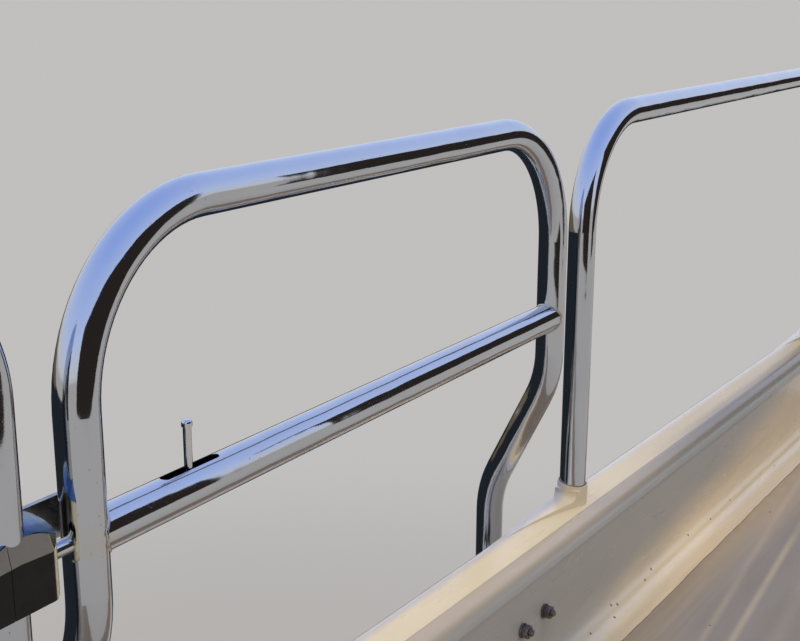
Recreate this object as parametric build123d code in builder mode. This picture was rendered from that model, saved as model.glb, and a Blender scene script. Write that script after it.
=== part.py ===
# Boarding gate in the guard rail of a motor boat, on a length of its bulwark.
# Millimetres, +Z up, +X along the rail, +Y outboard.
# The origin is on the flat underside of the bulwark, below the middle of the gate.
import os

from build123d import *

os.makedirs("parts", exist_ok=True)

# Rail tube
tube_r = 15.0
tube_wall = 1.5
left_corner_r = 95.0
right_corner_r = 122.0

# Heights above the underside, at the middle of the gate
deck_top_z = 22.0
cap_z = 160.0
mid_rail_z = 380.0
top_rail_z = 583.0

# Fall of the bulwark along the rail, as a slope
cap_fall = 0.03

# Gate leaf
gate_width = 672.0
gate_corner_r = 120.0
joggle_y = 68.5
joggle_top_z = 312.0
joggle_foot_z = 171.0
joggle_r = 120.0
hinge_z = 66.0
hinge_tube_over = 24.0
cap_dome = 5.0
cap_round = 4.0

# Posts of the fixed rails, from the axes of the gate's legs
keeper_post_gap = 67.0
plain_post_gap = 74.0
left_hoop_width = 330.0
right_hoop_width = 1030.0
bulwark_over = 110.0

# Bulwark section
outer_face_y = 15.0
cap_edge_r = 9.0
cap_crown_y = -21.5
cap_crown_drop = 8.0
inner_top_y = -42.0
inner_top_drop = 27.0
roll_mid_y = -35.0
roll_mid_drop = 15.0
inner_foot_y = -50.0
cove_r = 24.0
joint_y = -90.0
deck_edge_y = -260.0
joint_gap = 0.3

# Bosses on the cap
boss_wall = 2.2
boss_height = 19.0
boss_lean = 0.12
socket_depth = 45.0
socket_clear = 0.2
fairing_length = 200.0
fairing_drop = 5.0
fairing_rise = 2.0
fairing_foot_r = 8.0
fairing_tip_y = 8.0
fairing_tip_width = 3.0
fairing_tip_sink = 0.5
fairing_mid_y = 0.0
fairing_mid_share = 0.45

# Latch in the middle rail
bolt_r = 5.5
bolt_tip_gap = 28.5
bolt_length = 205.0
bolt_chamfer = 1.0
slot_start = 71.0
slot_end = 129.0
slot_width = 8.0
pin_r = 3.0
pin_at = 98.5
pin_top = 50.0
button_r = 3.9
button_height = 5.0
button_round = 2.3
slide_clear = 0.1
fit_clear = 0.05
bush_r = 8.0
bush_length = 26.0
end_bush_at = 138.0
end_bush_length = 15.0

# Keeper on the left post
keeper_r = 34.0
keeper_foot_drop = 20.5
keeper_foot_chamfer = 2.0
keeper_crown_r = 70.0
keeper_crown_rise = 33.0
keeper_crown_x = 4.0
keeper_crown_y = 16.0
keeper_face_y = -19.5
keeper_corner_r = 10.0
keeper_bevel_z = 13.0
keeper_bevel_in = 6.0
keeper_bevel_rise = 13.2
keeper_bevel_fall = 0.05
keeper_split_turn = 22.0
keeper_split_gap = 0.4
keeper_bore_r = 9.0
keeper_screw_r = 3.0
keeper_screw_y = 25.0
keeper_screw_z = 11.0
keeper_head_r = 5.0
keeper_head_height = 5.0
keeper_seat = 9.0
keeper_thread = 16.0
hex_socket_r = 2.5
hex_socket_depth = 3.0

# Stop lug on the gate's left leg
lug_top_z = 12.0
lug_height = 30.0
lug_thickness = 4.0
lug_reach = 62.0
lug_bend_r = 6.0
lug_past_leg = 26.0
pad_thickness = 5.0
pad_length = 34.0
pad_gap = 5.5
pad_chamfer = 1.0

# Hinge brackets
bracket_from_leg = 112.0
bracket_plate_x = 84.0
bracket_plate_z = 44.0
bracket_plate_y = 6.0
bracket_corner_r = 8.0
bracket_arm_x = 22.0
bracket_arm_z = 20.0
bracket_arm_corner_r = 4.0
bracket_arm_inset = 3.0
eye_wall = 6.0
eye_length = 34.0
liner_wall = 2.0
hinge_clear = 0.25
bolt_pitch = 50.0
bolt_z = 84.5
stud_r = 4.0
hole_clear = 0.25
washer_r = 8.0
washer_thickness = 1.6
nut_across_flats = 13.0
nut_height = 6.5
stud_proud = 12.0
head_height = 5.3

# Places worked out from the sizes above
leg_x = gate_width / 2
left_post_x = -(leg_x + keeper_post_gap)
right_post_x = leg_x + plain_post_gap
left_end_x = left_post_x - left_hoop_width - bulwark_over
right_end_x = right_post_x + right_hoop_width + bulwark_over
boss_r = tube_r + socket_clear + boss_wall
leg_bore_r = tube_r - tube_wall
bracket_places = {"left": -(leg_x - bracket_from_leg), "right": leg_x - bracket_from_leg}


def cap_z_at(x):
    """Height of the cap's outboard edge at x."""
    return cap_z - cap_fall * x


def save(piece, name):
    """Label one finished piece and write its STEP file."""
    piece.part.label = name
    export_step(piece.part, f"parts/{name}.step")


# Section plane of the bulwark, square to its own run
fall_plane = Plane(
    origin=(left_end_x, 0, -cap_fall * left_end_x), x_dir=(0, 1, 0), z_dir=(1, 0, -cap_fall)
)
bulwark_run = (right_end_x - left_end_x) * (1 + cap_fall**2) ** 0.5

# One fairing per boss: (post x, side its fairing runs to)
bosses = [
    (left_post_x - left_hoop_width, 1),
    (left_post_x, 1),
    (right_post_x, -1),
    (right_post_x + right_hoop_width, -1),
]


def make_fairing(post_x, side):
    """Low wedge that runs from a boss along the cap's outboard edge."""
    base_z = cap_z_at(post_x) - boss_height
    start_z = cap_z_at(post_x) + boss_height - fairing_drop
    boss_x = post_x + side * boss_r
    mid_x = post_x + side * fairing_length * fairing_mid_share
    tip_x = post_x + side * fairing_length
    tip_z = cap_z_at(tip_x) - fairing_tip_sink
    with BuildPart() as fairing:
        with BuildSketch(Plane.XZ.offset(-boss_r)):
            with BuildLine():
                FilletPolyline(
                    (boss_x, start_z),
                    (boss_x, cap_z_at(boss_x) + fairing_rise),
                    (tip_x, tip_z),
                    radius=fairing_foot_r,
                )
                Polyline(
                    (tip_x, tip_z),
                    (tip_x, base_z),
                    (post_x, base_z),
                    (post_x, start_z),
                    (boss_x, start_z),
                )
            make_face()
        extrude(amount=2 * boss_r)
        with BuildSketch(Plane.XY.offset(base_z - fairing_tip_sink)):
            with BuildLine():
                ThreePointArc(
                    (post_x, -boss_r),
                    (mid_x, fairing_mid_y),
                    (tip_x, fairing_tip_y - fairing_tip_width / 2),
                )
                Polyline(
                    (tip_x, fairing_tip_y - fairing_tip_width / 2),
                    (tip_x, fairing_tip_y + fairing_tip_width / 2),
                    (post_x, outer_face_y - fairing_tip_sink),
                    (post_x, -boss_r),
                )
            make_face()
        extrude(amount=3 * boss_height, mode=Mode.INTERSECT)
    return fairing.part


fairings = [make_fairing(x, side) for x, side in bosses]

# Bulwark with its rolled cap, coved foot and bosses
with BuildPart() as bulwark:
    with BuildSketch(fall_plane):
        with BuildLine():
            Line((joint_y, 0), (outer_face_y, 0))
            Line((outer_face_y, 0), (outer_face_y, cap_z - cap_edge_r))
            RadiusArc(
                (outer_face_y, cap_z - cap_edge_r), (outer_face_y - cap_edge_r, cap_z), -cap_edge_r
            )
            Line((outer_face_y - cap_edge_r, cap_z), (cap_crown_y, cap_z - cap_crown_drop))
            ThreePointArc(
                (cap_crown_y, cap_z - cap_crown_drop),
                (roll_mid_y, cap_z - roll_mid_drop),
                (inner_top_y, cap_z - inner_top_drop),
            )
            FilletPolyline(
                (inner_top_y, cap_z - inner_top_drop),
                (inner_foot_y, deck_top_z),
                (joint_y, deck_top_z),
                radius=cove_r,
            )
            Line((joint_y, deck_top_z), (joint_y, 0))
        make_face()
    extrude(amount=bulwark_run)
    for fairing in fairings:
        add(fairing)
    for post_x, _ in bosses:
        with BuildSketch(Plane.XY.offset(cap_z_at(post_x) - boss_height)):
            with Locations((post_x, 0)):
                Circle(boss_r)
        extrude(amount=3 * boss_height)
    for post_x, _ in bosses:
        boss_top_z = cap_z_at(post_x) + boss_height
        with BuildSketch(Plane.YZ.offset(post_x - 2 * boss_r)):
            with BuildLine():
                Polyline(
                    (-2 * boss_r, boss_top_z - 2 * boss_r * boss_lean),
                    (2 * boss_r, boss_top_z + 2 * boss_r * boss_lean),
                    (2 * boss_r, boss_top_z + 3 * boss_height),
                    (-2 * boss_r, boss_top_z + 3 * boss_height),
                    close=True,
                )
            make_face()
        extrude(amount=4 * boss_r, mode=Mode.SUBTRACT)
    for post_x, _ in bosses:
        with BuildSketch(Plane.XY.offset(cap_z_at(post_x) + boss_height - socket_depth)):
            with Locations((post_x, 0)):
                Circle(tube_r + socket_clear)
        extrude(amount=2 * socket_depth, mode=Mode.SUBTRACT)
    for bracket_x in bracket_places.values():
        with BuildSketch(Plane.XZ.offset(-outer_face_y)):
            with Locations((bracket_x, bolt_z)):
                with GridLocations(bolt_pitch, 0, 2, 1):
                    Circle(stud_r + hole_clear)
        extrude(amount=outer_face_y - joint_y, mode=Mode.SUBTRACT)
save(bulwark, "bulwark")

# Strip of side deck along the foot of the bulwark
with BuildPart() as deck_strip:
    with BuildSketch(fall_plane):
        with Locations((joint_y - joint_gap, 0)):
            Rectangle(joint_y - joint_gap - deck_edge_y, deck_top_z, align=(Align.MAX, Align.MIN))
    extrude(amount=bulwark_run)
save(deck_strip, "deck_strip")


def make_rail_hoop(near_x, far_x, corner_r, name):
    """Fixed rail: two posts in their bosses and the bends into the top rail."""
    near_foot = cap_z_at(near_x) + boss_height - socket_depth
    far_foot = cap_z_at(far_x) + boss_height - socket_depth
    with BuildPart() as hoop:
        with BuildLine() as path:
            FilletPolyline(
                (near_x, 0, near_foot),
                (near_x, 0, top_rail_z),
                (far_x, 0, top_rail_z),
                (far_x, 0, far_foot),
                radius=corner_r,
            )
        with BuildSketch(Plane(origin=(near_x, 0, near_foot), z_dir=(0, 0, 1))):
            Circle(tube_r)
            Circle(tube_r - tube_wall, mode=Mode.SUBTRACT)
        sweep(path=path.line)
    save(hoop, name)


make_rail_hoop(left_post_x, left_post_x - left_hoop_width, left_corner_r, "left_rail")
make_rail_hoop(right_post_x, right_post_x + right_hoop_width, right_corner_r, "right_rail")

# Gate hoop: one bent tube with both joggled legs
with BuildPart() as gate_hoop:
    with BuildLine() as gate_path:
        FilletPolyline(
            (-leg_x, joggle_y, hinge_z),
            (-leg_x, joggle_y, joggle_foot_z),
            (-leg_x, 0, joggle_top_z),
            (-leg_x, 0, top_rail_z),
            (leg_x, 0, top_rail_z),
            (leg_x, 0, joggle_top_z),
            (leg_x, joggle_y, joggle_foot_z),
            (leg_x, joggle_y, hinge_z),
            radius=[joggle_r, joggle_r, gate_corner_r, gate_corner_r, joggle_r, joggle_r],
        )
    with BuildSketch(Plane(origin=(-leg_x, joggle_y, hinge_z), z_dir=(0, 0, 1))):
        Circle(tube_r)
        Circle(leg_bore_r, mode=Mode.SUBTRACT)
    sweep(path=gate_path.line)
    with BuildSketch(Plane.YZ.offset(-leg_x - 2 * tube_r)):
        with Locations((joggle_y, hinge_z)):
            Circle(tube_r)
    extrude(amount=gate_width + 4 * tube_r, mode=Mode.SUBTRACT)
    with BuildSketch(Plane.YZ.offset(-leg_x - 2 * tube_r)):
        with Locations((0, mid_rail_z)):
            Circle(bush_r + fit_clear)
    extrude(amount=4 * tube_r, mode=Mode.SUBTRACT)
save(gate_hoop, "gate_hoop")

# Middle rail, saddle cut to the legs, with the latch slot in its top
with BuildPart() as gate_middle_rail:
    with BuildSketch(Plane.YZ.offset(-leg_x)):
        with Locations((0, mid_rail_z)):
            Circle(tube_r)
            Circle(tube_r - tube_wall, mode=Mode.SUBTRACT)
    extrude(amount=gate_width)
    with BuildSketch(Plane.XY.offset(mid_rail_z - 2 * tube_r)):
        with Locations((-leg_x, 0), (leg_x, 0)):
            Circle(tube_r)
    extrude(amount=4 * tube_r, mode=Mode.SUBTRACT)
    with BuildSketch(Plane.XY.offset(mid_rail_z)):
        with Locations((-leg_x + (slot_start + slot_end) / 2, 0)):
            SlotOverall(slot_end - slot_start, slot_width)
    extrude(amount=2 * tube_r, mode=Mode.SUBTRACT)
save(gate_middle_rail, "gate_middle_rail")

# Hinge tube across the feet of the legs, with domed end caps
hinge_tube_half = leg_x + hinge_tube_over
with BuildPart() as gate_hinge_tube:
    with BuildSketch(Plane.YZ.offset(-hinge_tube_half)):
        with Locations((joggle_y, hinge_z)):
            Circle(tube_r)
            Circle(tube_r - tube_wall, mode=Mode.SUBTRACT)
    extrude(amount=2 * hinge_tube_half)
save(gate_hinge_tube, "gate_hinge_tube")

for side_name, side in (("left", -1), ("right", 1)):
    with BuildPart() as end_cap:
        with BuildSketch(Plane.YZ.offset(side * hinge_tube_half)):
            with Locations((joggle_y, hinge_z)):
                Circle(tube_r)
        extrude(amount=side * cap_dome)
        outer_rim = end_cap.faces().filter_by(GeomType.PLANE).sort_by(Axis.X)[-1 if side > 0 else 0].edges()
        fillet(outer_rim, cap_round)
    save(end_cap, f"hinge_tube_cap_{side_name}")

# Guide bush through the left leg, flush with its outer side
with BuildPart() as leg_bush:
    with BuildSketch(Plane.YZ.offset(-leg_x - tube_r)):
        with Locations((0, mid_rail_z)):
            Circle(bush_r)
    extrude(amount=tube_r)
    with BuildSketch(Plane.XY.offset(mid_rail_z - 2 * tube_r)):
        with Locations((-leg_x, 0)):
            Circle(tube_r)
    extrude(amount=4 * tube_r, mode=Mode.INTERSECT)
    with BuildSketch(Plane.YZ.offset(-leg_x)):
        with Locations((0, mid_rail_z)):
            Circle(bush_r)
    extrude(amount=bush_length)
    with BuildSketch(Plane.YZ.offset(-leg_x - 2 * tube_r)):
        with Locations((0, mid_rail_z)):
            Circle(bolt_r + slide_clear)
    extrude(amount=3 * tube_r + bush_length, mode=Mode.SUBTRACT)
save(leg_bush, "latch_guide_bush")

# End bush inside the middle rail
with BuildPart() as end_bush:
    with BuildSketch(Plane.YZ.offset(-leg_x + end_bush_at)):
        with Locations((0, mid_rail_z)):
            Circle(tube_r - tube_wall - fit_clear)
            Circle(bolt_r + slide_clear, mode=Mode.SUBTRACT)
    extrude(amount=end_bush_length)
save(end_bush, "latch_end_bush")

# Latch bolt with its cross hole
with BuildPart() as latch_bolt:
    with BuildSketch(Plane.YZ.offset(-leg_x - bolt_tip_gap)):
        with Locations((0, mid_rail_z)):
            Circle(bolt_r)
    extrude(amount=bolt_length)
    chamfer(latch_bolt.faces().sort_by(Axis.X)[0].edges(), bolt_chamfer)
    with BuildSketch(Plane.XY.offset(mid_rail_z - 2 * bolt_r)):
        with Locations((-leg_x + pin_at, 0)):
            Circle(pin_r + fit_clear)
    extrude(amount=4 * bolt_r, mode=Mode.SUBTRACT)
save(latch_bolt, "latch_bolt")

# Handle pin with its button head
with BuildPart() as latch_pin:
    with BuildSketch(Plane.XY.offset(mid_rail_z - bolt_r)):
        with Locations((-leg_x + pin_at, 0)):
            Circle(pin_r)
    extrude(amount=bolt_r + pin_top - button_height)
    with BuildSketch(Plane.XY.offset(mid_rail_z + pin_top - button_height)):
        with Locations((-leg_x + pin_at, 0)):
            Circle(button_r)
    extrude(amount=button_height)
    fillet(latch_pin.faces().sort_by(Axis.Z)[-1].edges(), button_round)
save(latch_pin, "latch_pin")

# Keeper: a round clamp on the left post with a flat inboard face, split in two
keeper_axis = Axis((left_post_x, 0, mid_rail_z), (0, 0, 1))
split_plane = Plane(
    origin=(left_post_x, 0, mid_rail_z),
    x_dir=(0, 0, 1),
    z_dir=Vector(1, 0, 0).rotate(Axis.Z, -keeper_split_turn),
)


def make_keeper_body():
    """Whole keeper before it is split: hub with a crown off its centre, flat face, bolt bore."""
    low_z = mid_rail_z - keeper_foot_drop
    top_z = mid_rail_z + keeper_crown_rise
    bevel_z = mid_rail_z + keeper_bevel_z
    bore_x = left_post_x + tube_r + fit_clear
    rim_x = left_post_x + keeper_r
    with BuildPart() as body:
        with BuildSketch(Plane.XZ):
            with BuildLine():
                Polyline(
                    (bore_x, low_z),
                    (rim_x - keeper_foot_chamfer, low_z),
                    (rim_x, low_z + keeper_foot_chamfer),
                    (rim_x, top_z),
                    (bore_x, top_z),
                    close=True,
                )
            make_face()
        revolve(axis=keeper_axis)
        with BuildSketch(Plane.XY.offset(low_z)) as plan:
            with Locations((left_post_x, 0)):
                Circle(keeper_r)
            with Locations((left_post_x, keeper_face_y)):
                Rectangle(3 * keeper_r, keeper_r, align=(Align.CENTER, Align.MAX), mode=Mode.SUBTRACT)
            fillet(plan.vertices().group_by(Axis.Y)[0], keeper_corner_r)
        extrude(amount=top_z - low_z, mode=Mode.INTERSECT)
        with Locations((left_post_x + keeper_crown_x, keeper_crown_y, top_z - keeper_crown_r)):
            Sphere(keeper_crown_r, mode=Mode.INTERSECT)
        for side in (-1, 1):
            with BuildSketch(Plane.YZ.offset(left_post_x)):
                with BuildLine():
                    Polyline(
                        (keeper_face_y - keeper_bevel_in, bevel_z),
                        (keeper_face_y, bevel_z),
                        (keeper_face_y + keeper_bevel_in, bevel_z + keeper_bevel_rise),
                        (keeper_face_y + keeper_bevel_in, bevel_z + 2 * keeper_r),
                        (keeper_face_y - keeper_bevel_in, bevel_z + 2 * keeper_r),
                        close=True,
                    )
                make_face()
            extrude(amount=2 * keeper_r, dir=(side, 0, -keeper_bevel_fall), mode=Mode.SUBTRACT)
        with BuildSketch(Plane.YZ.offset(left_post_x)):
            with Locations((0, mid_rail_z)):
                Circle(keeper_bore_r)
        extrude(amount=2 * keeper_r, mode=Mode.SUBTRACT)
    return body.part


keeper_body = make_keeper_body()
screw_plane = Plane(
    origin=split_plane.origin, x_dir=split_plane.z_dir.cross(Vector(0, 0, 1)), z_dir=split_plane.z_dir
)

for half_name, side in (("bolt_side", 1), ("clamp_side", -1)):
    half_space = split_plane.offset(side * keeper_split_gap / 2)
    with BuildPart() as keeper_half:
        add(keeper_body)
        split(bisect_by=half_space, keep=Keep.TOP if side > 0 else Keep.BOTTOM)
        with BuildSketch(screw_plane.offset(-2 * keeper_r)):
            with Locations((-keeper_screw_y, -keeper_screw_z), (-keeper_screw_y, keeper_screw_z)):
                Circle(keeper_screw_r + fit_clear)
        extrude(amount=2 * keeper_r + keeper_thread, mode=Mode.SUBTRACT)
        with BuildSketch(screw_plane.offset(-2 * keeper_r)):
            with Locations((-keeper_screw_y, -keeper_screw_z), (-keeper_screw_y, keeper_screw_z)):
                Circle(keeper_head_r + fit_clear)
        extrude(amount=2 * keeper_r - keeper_seat, mode=Mode.SUBTRACT)
    save(keeper_half, f"keeper_{half_name}")

# Socket head screws that clamp the keeper's halves
with BuildPart() as keeper_screws:
    with BuildSketch(screw_plane.offset(-keeper_seat)):
        with Locations((-keeper_screw_y, -keeper_screw_z), (-keeper_screw_y, keeper_screw_z)):
            Circle(keeper_screw_r)
    extrude(amount=keeper_seat + keeper_thread)
    with BuildSketch(screw_plane.offset(-keeper_seat)):
        with Locations((-keeper_screw_y, -keeper_screw_z), (-keeper_screw_y, keeper_screw_z)):
            Circle(keeper_head_r)
    extrude(amount=-keeper_head_height)
    with BuildSketch(screw_plane.offset(-keeper_seat - keeper_head_height)):
        with Locations((-keeper_screw_y, -keeper_screw_z), (-keeper_screw_y, keeper_screw_z)):
            RegularPolygon(hex_socket_r, 6)
    extrude(amount=hex_socket_depth, mode=Mode.SUBTRACT)
save(keeper_screws, "keeper_screws")

# Stop lug that passes behind the gate's left leg, and its rubber pad facing the keeper
pad_y = keeper_r + pad_gap
lug_y = pad_y + pad_thickness
lug_end_x = -leg_x - lug_reach
with BuildPart() as stop_lug:
    with BuildSketch(Plane.XY.offset(mid_rail_z + lug_top_z)):
        with BuildLine():
            FilletPolyline(
                (lug_end_x, lug_y + lug_thickness / 2),
                (-leg_x + lug_past_leg, lug_y + lug_thickness / 2),
                (-leg_x + lug_past_leg, tube_r - tube_wall),
                radius=lug_bend_r,
            )
            offset(amount=lug_thickness / 2, side=Side.BOTH)
        make_face()
    extrude(amount=-lug_height)
    with BuildSketch(Plane.YZ.offset(-leg_x)):
        with Locations((0, mid_rail_z)):
            Circle(tube_r)
    extrude(amount=2 * lug_past_leg, mode=Mode.SUBTRACT)
save(stop_lug, "stop_lug")

with BuildPart() as stop_pad:
    with BuildSketch(Plane.XZ.offset(-lug_y)):
        with Locations((lug_end_x, mid_rail_z + lug_top_z)):
            Rectangle(pad_length, lug_height, align=(Align.MIN, Align.MAX))
    extrude(amount=pad_thickness)
    chamfer(stop_pad.faces().sort_by(Axis.Y)[0].edges(), pad_chamfer)
save(stop_pad, "stop_pad")

# Hinge brackets through-bolted to the bulwark's outer face
eye_r = tube_r + hinge_clear + liner_wall + eye_wall


def make_bracket(x, side_name):
    """Plate, arm and eye of one hinge bracket, with its liner and bolts."""
    with BuildPart() as bracket:
        with BuildSketch(Plane.XZ.offset(-outer_face_y)):
            with Locations((x, bolt_z)):
                RectangleRounded(bracket_plate_x, bracket_plate_z, bracket_corner_r)
        extrude(amount=-bracket_plate_y)
        with BuildSketch(Plane.XZ.offset(-outer_face_y - bracket_plate_y)):
            with Locations((x, bolt_z)):
                RectangleRounded(
                    bracket_arm_x, bracket_plate_z - 2 * bracket_arm_inset, bracket_arm_corner_r
                )
        with BuildSketch(Plane.XZ.offset(-joggle_y + tube_r)):
            with Locations((x, hinge_z)):
                RectangleRounded(
                    eye_length - 2 * bracket_arm_inset, bracket_arm_z, bracket_arm_corner_r
                )
        loft()
        with BuildSketch(Plane.YZ.offset(x - eye_length / 2)):
            with Locations((joggle_y, hinge_z)):
                Circle(eye_r)
        extrude(amount=eye_length)
        with BuildSketch(Plane.YZ.offset(x - eye_length)):
            with Locations((joggle_y, hinge_z)):
                Circle(eye_r - eye_wall)
        extrude(amount=2 * eye_length, mode=Mode.SUBTRACT)
        with BuildSketch(Plane.XZ.offset(-outer_face_y)):
            with Locations((x, bolt_z)):
                with GridLocations(bolt_pitch, 0, 2, 1):
                    Circle(stud_r + hole_clear)
        extrude(amount=-2 * bracket_plate_y, mode=Mode.SUBTRACT)
    save(bracket, f"hinge_bracket_{side_name}")

    with BuildPart() as liner:
        with BuildSketch(Plane.YZ.offset(x - eye_length / 2)):
            with Locations((joggle_y, hinge_z)):
                Circle(eye_r - eye_wall - fit_clear)
                Circle(tube_r + hinge_clear, mode=Mode.SUBTRACT)
        extrude(amount=eye_length)
    save(liner, f"hinge_liner_{side_name}")

    inner_y = inner_face_y_at(x - bolt_pitch / 2 - washer_r)
    head_y = outer_face_y + bracket_plate_y
    with BuildPart() as bolts:
        with BuildSketch(Plane.XZ.offset(-head_y)):
            with Locations((x, bolt_z)):
                with GridLocations(bolt_pitch, 0, 2, 1):
                    RegularPolygon(nut_across_flats / 2, 6, major_radius=False)
        extrude(amount=-head_height)
        with BuildSketch(Plane.XZ.offset(-head_y)):
            with Locations((x, bolt_z)):
                with GridLocations(bolt_pitch, 0, 2, 1):
                    Circle(stud_r)
        extrude(amount=head_y - inner_y + stud_proud)
    save(bolts, f"bracket_bolts_{side_name}")

    with BuildPart() as nuts:
        with BuildSketch(Plane.XZ.offset(-inner_y)):
            with Locations((x, bolt_z)):
                with GridLocations(bolt_pitch, 0, 2, 1):
                    Circle(washer_r)
        extrude(amount=washer_thickness)
        with BuildSketch(Plane.XZ.offset(-inner_y + washer_thickness)):
            with Locations((x, bolt_z)):
                with GridLocations(bolt_pitch, 0, 2, 1):
                    RegularPolygon(nut_across_flats / 2, 6, major_radius=False)
        extrude(amount=nut_height)
        with BuildSketch(Plane.XZ.offset(-inner_y - washer_thickness)):
            with Locations((x, bolt_z)):
                with GridLocations(bolt_pitch, 0, 2, 1):
                    Circle(stud_r + fit_clear)
        extrude(amount=2 * nut_height, mode=Mode.SUBTRACT)
    save(nuts, f"bracket_nuts_{side_name}")


def inner_face_y_at(x):
    """Inboard face of the bulwark at the bolts' height, on the side the washers bear on."""
    top_z = cap_z_at(x) - inner_top_drop
    foot_z = deck_top_z - cap_fall * x
    share = (top_z - (bolt_z - washer_r)) / (top_z - foot_z)
    return inner_top_y + share * (inner_foot_y - inner_top_y)


for side_name, bracket_x in bracket_places.items():
    make_bracket(bracket_x, side_name)
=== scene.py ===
"""Looks, light and camera for a boarding gate in a boat's guard rail."""

import logging
import math
from dataclasses import dataclass
from enum import Enum
from typing import Any, Callable, Iterable, Optional

import bmesh
import bpy
from mathutils import Matrix, Vector
from mathutils.bvhtree import BVHTree


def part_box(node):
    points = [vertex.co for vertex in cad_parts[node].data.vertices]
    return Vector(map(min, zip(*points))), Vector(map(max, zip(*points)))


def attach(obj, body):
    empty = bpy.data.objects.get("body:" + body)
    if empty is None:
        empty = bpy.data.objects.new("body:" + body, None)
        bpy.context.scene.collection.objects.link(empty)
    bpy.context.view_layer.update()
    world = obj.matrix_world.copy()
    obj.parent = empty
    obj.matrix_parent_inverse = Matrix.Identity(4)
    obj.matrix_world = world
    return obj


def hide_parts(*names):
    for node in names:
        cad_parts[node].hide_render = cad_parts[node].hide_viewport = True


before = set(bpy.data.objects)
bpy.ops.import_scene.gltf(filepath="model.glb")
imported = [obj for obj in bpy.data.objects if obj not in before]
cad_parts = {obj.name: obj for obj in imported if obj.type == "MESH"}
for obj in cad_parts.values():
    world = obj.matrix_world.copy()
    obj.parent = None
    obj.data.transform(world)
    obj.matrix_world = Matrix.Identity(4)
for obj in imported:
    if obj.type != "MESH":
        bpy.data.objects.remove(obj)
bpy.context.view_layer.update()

log = logging.getLogger("boarding_gate")

# How far the bulwark's underside falls for each metre along it
FALL = 0.03

Colour = tuple[float, float, float]
Point = tuple[float, float, float]
Shape = tuple[list[Vector], list[tuple[int, ...]]]


class Body(str, Enum):
    """Rigid bodies that the pieces ride on."""

    BULWARK = "bulwark_section"
    GATE = "gate"


class Slot(str, Enum):
    """Names of the record's finishes for added pieces; the script does not use them."""

    STEEL = "polished_steel"
    FASTENER = "fastener_steel"
    PLASTIC = "black_plastic"
    RUBBER = "black_rubber"


def shade(colour: Colour, share: float) -> Colour:
    """Colour at a share of its strength."""
    return tuple(share * part for part in colour)


class Graph:
    """Shared way to add nodes to a shader or geometry tree."""

    def __init__(self, tree: bpy.types.NodeTree) -> None:
        """Keep the tree that the nodes go into."""
        self.tree = tree

    def node(
        self,
        kind: str,
        settings: Optional[dict[str, Any]] = None,
        sockets: Optional[dict[Any, Any]] = None,
        out: Any = 0,
    ) -> "Wire":
        """Add one node.

        Args:
            kind: Blender's node type.
            settings: properties set first; "stops" fills a colour ramp.
            sockets: values or wires by socket name or number.
            out: name or number of the output that is returned.

        Returns:
            The chosen output as a wire.
        """
        made = self.tree.nodes.new(kind)
        for key, value in (settings or {}).items():
            if key == "stops":
                ramp = made.color_ramp
                while len(ramp.elements) < len(value):
                    ramp.elements.new(0.5)
                for element, (place, colour) in zip(ramp.elements, value):
                    element.position = place
                    element.color = (*colour, 1.0)
            else:
                setattr(made, key, value)
        for key, value in (sockets or {}).items():
            self.feed(made.inputs[key], value)
        return Wire(self, made.outputs[out])

    def feed(self, socket: bpy.types.NodeSocket, value: Any) -> None:
        """Link a wire to a socket, or set the socket's own value.

        Args:
            socket: input that is fed.
            value: a wire, a number, a vector, or a colour of three parts.
        """
        if isinstance(value, Wire):
            self.tree.links.new(value.socket, socket)
        elif isinstance(value, tuple) and socket.type == "RGBA" and len(value) == 3:
            socket.default_value = (*value, 1.0)
        else:
            socket.default_value = value

    def maths(self, operation: str, *values: Any) -> "Wire":
        """Add a Math node on one or two values."""
        return self.node("ShaderNodeMath", {"operation": operation}, dict(enumerate(values)))

    def vector(self, operation: str, *values: Any, out: str = "Vector") -> "Wire":
        """Add a Vector Math node."""
        sockets = dict(enumerate(values))
        return self.node("ShaderNodeVectorMath", {"operation": operation}, sockets, out)

    def mix(self, share: Any, first: Any, second: Any) -> "Wire":
        """Mix two colours."""
        sockets = {0: share, 6: first, 7: second}
        return self.node("ShaderNodeMix", {"data_type": "RGBA"}, sockets, 2)

    def split(self, vector: "Wire") -> list["Wire"]:
        """The x, y and z of a vector."""
        parts = self.node("ShaderNodeSeparateXYZ", {}, {0: vector}).socket.node
        return [Wire(self, part) for part in parts.outputs]

    def joined(self, x: Any = 0.0, y: Any = 0.0, z: Any = 0.0) -> "Wire":
        """A vector from its x, y and z."""
        return self.node("ShaderNodeCombineXYZ", {}, {0: x, 1: y, 2: z})

    def random(self, low: float, high: float, seed: int) -> "Wire":
        """A random number for each point, from a fixed seed."""
        sockets = {2: low, 3: high, "Seed": seed}
        return self.node("FunctionNodeRandomValue", {"data_type": "FLOAT"}, sockets, 1)

    def strongest(self, masks: list["Wire"]) -> "Wire":
        """Highest of some masks.

        Args:
            masks: the masks, one at least.

        Returns:
            The highest value at each place.
        """
        top = masks[0]
        for mask in masks[1:]:
            top = self.maths("MAXIMUM", top, mask)
        return top

    def seen(self) -> "Wire":
        """Mask of the rays that show the background.

        Returns:
            1 for what is seen straight, in metal or through glass, else 0.
        """
        path = self.node("ShaderNodeLightPath").socket.node
        kinds = ("Camera", "Glossy", "Transmission")
        return self.strongest([Wire(self, path.outputs[f"Is {kind} Ray"]) for kind in kinds])


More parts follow.
